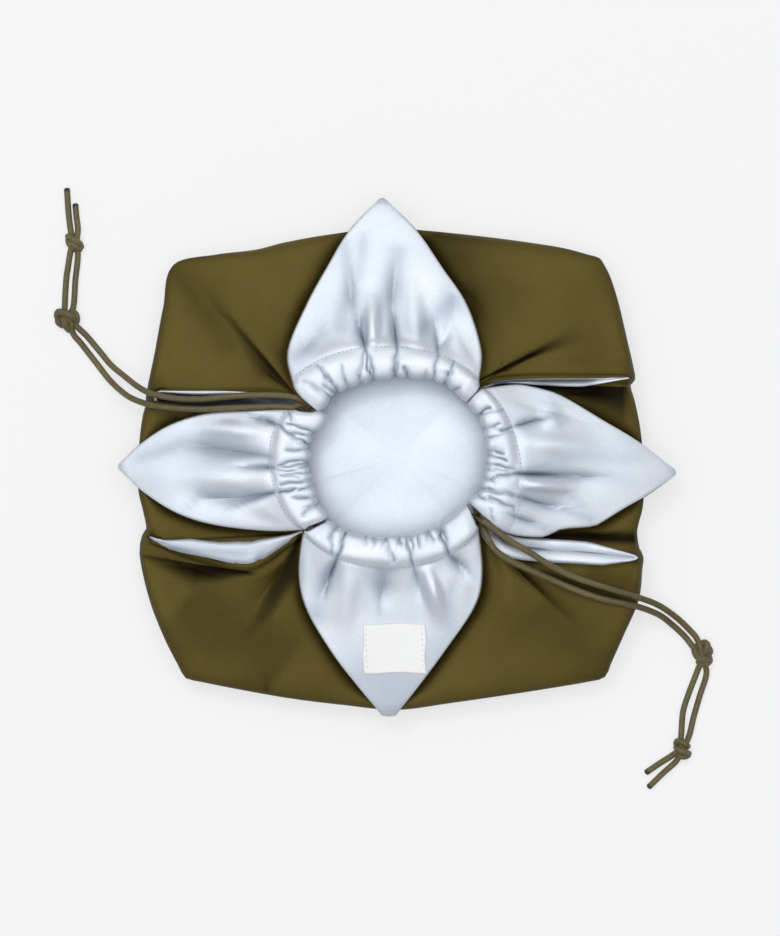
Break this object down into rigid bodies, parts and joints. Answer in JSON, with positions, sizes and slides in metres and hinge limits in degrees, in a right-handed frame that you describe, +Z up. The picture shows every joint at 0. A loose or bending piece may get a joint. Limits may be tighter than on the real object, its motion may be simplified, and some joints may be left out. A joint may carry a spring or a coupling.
{
  "type": "drawstring pouch",
  "caption": "Lined cloth pouch lying mouth up, the corners of its square folded out as petals with stitched casings, and knotted draw cords that lie loose beside it.",
  "frame": {"origin": "on the table, under the middle of the cloth's extent from petal tip to petal tip", "axes": "+Z up, +Y towards the petal that is at the top of the picture, +X towards the petal at its right"},
  "size_m": [0.2647, 0.2407, 0.0381],
  "materials": {
    "shell_cloth": "matt olive taffeta",
    "lining_satin": "ice blue satin",
    "label_cloth": "white woven tape",
    "draw_cord": "olive waxed cord"
  },
  "bodies": {
    "root": {"shell": "shell_cloth", "lining": "lining_satin", "label": "label_cloth", "cord_left_casing_run": "draw_cord", "cord_right_casing_run": "draw_cord", "cord_left_knot_1": "draw_cord", "cord_left_knot_2": "draw_cord", "cord_right_knot_1": "draw_cord", "cord_right_knot_2": "draw_cord", "cord_left_upper_free": "draw_cord", "cord_left_upper_between": "draw_cord", "cord_left_upper_tail": "draw_cord", "cord_left_lower_free": "draw_cord", "cord_left_lower_between": "draw_cord", "cord_left_lower_tail": "draw_cord", "cord_right_upper_free": "draw_cord", "cord_right_upper_between": "draw_cord", "cord_right_upper_tail": "draw_cord", "cord_right_lower_free": "draw_cord", "cord_right_lower_between": "draw_cord", "cord_right_lower_tail": "draw_cord"}
  },
  "joints": []
}
